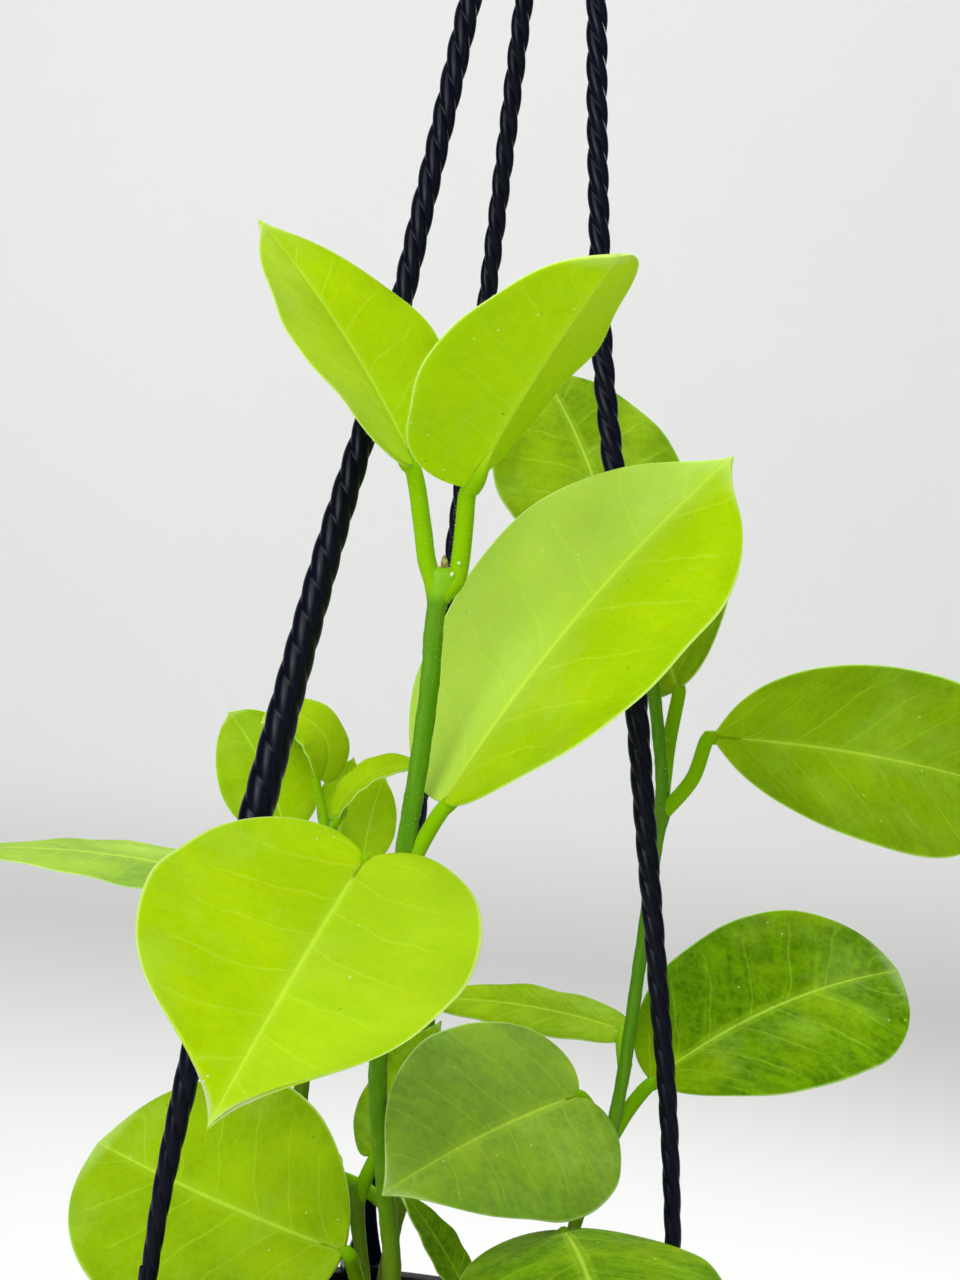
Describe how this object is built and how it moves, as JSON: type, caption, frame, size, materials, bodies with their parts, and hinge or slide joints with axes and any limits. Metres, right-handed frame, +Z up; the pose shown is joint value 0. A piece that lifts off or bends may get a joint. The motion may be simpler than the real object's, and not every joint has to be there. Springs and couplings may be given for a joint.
{
  "type": "potted climbing plant in a hanging pot",
  "caption": "Round black hanging pot on twisted legs under a hook, holding a hoya whose stems carry thick pointed oval leaves in pairs.",
  "frame": {"origin": "centre of the pot's flat base", "axes": "+Z up along the pot's axis to the hook; the front, towards -Y, is the side that the picture shows; +X is to the right seen from there"},
  "size_m": [0.203, 0.1927, 0.433],
  "materials": {
    "pot": "satin moulded plastic",
    "hanger": "satin moulded plastic",
    "soil": "coarse bark and peat mix",
    "stem": "smooth green stem, olive lower down",
    "leaf": "thick leathery leaf with a soft sheen",
    "young_leaf": "thin young leaf with a soft sheen"
  },
  "bodies": {
    "root": {"pot": "pot", "soil": "soil", "stem_front": "stem", "stem_right": "stem", "stem_left": "stem", "stem_middle": "stem", "stem_back": "stem", "stem_low_right": "stem", "stem_low_middle": "stem", "stem_low_left": "stem", "stem_low_back_left": "stem", "stem_low_back_right": "stem", "stem_low_side": "stem", "leaf_top_left": "leaf", "leaf_top_right": "leaf", "leaf_upper_right": "leaf", "leaf_front_heart": "leaf", "leaf_behind_top": "leaf", "leaf_behind_right": "leaf", "leaf_far_right": "leaf", "leaf_lower_right": "leaf", "leaf_lower_middle": "leaf", "leaf_lower_left": "leaf", "leaf_far_left": "leaf", "leaf_lower_back": "leaf", "leaf_low_front": "leaf", "leaf_low_slim": "leaf", "leaf_low_narrow": "leaf", "leaf_young_left": "young_leaf", "leaf_young_hook": "young_leaf", "leaf_young_middle": "young_leaf", "leaf_young_arch": "young_leaf", "leaf_young_right": "young_leaf", "leaf_back_high": "leaf", "leaf_back_middle": "leaf", "leaf_back_side": "leaf", "leaf_low_back_left": "leaf", "leaf_low_back_right": "leaf", "leaf_low_side": "leaf", "leaf_low_front_left": "leaf", "leaf_low_front_right": "leaf", "hanger_leg_left": "hanger", "hanger_leg_back": "hanger", "hanger_leg_right": "hanger", "hanger_hook": "hanger"}
  },
  "joints": []
}
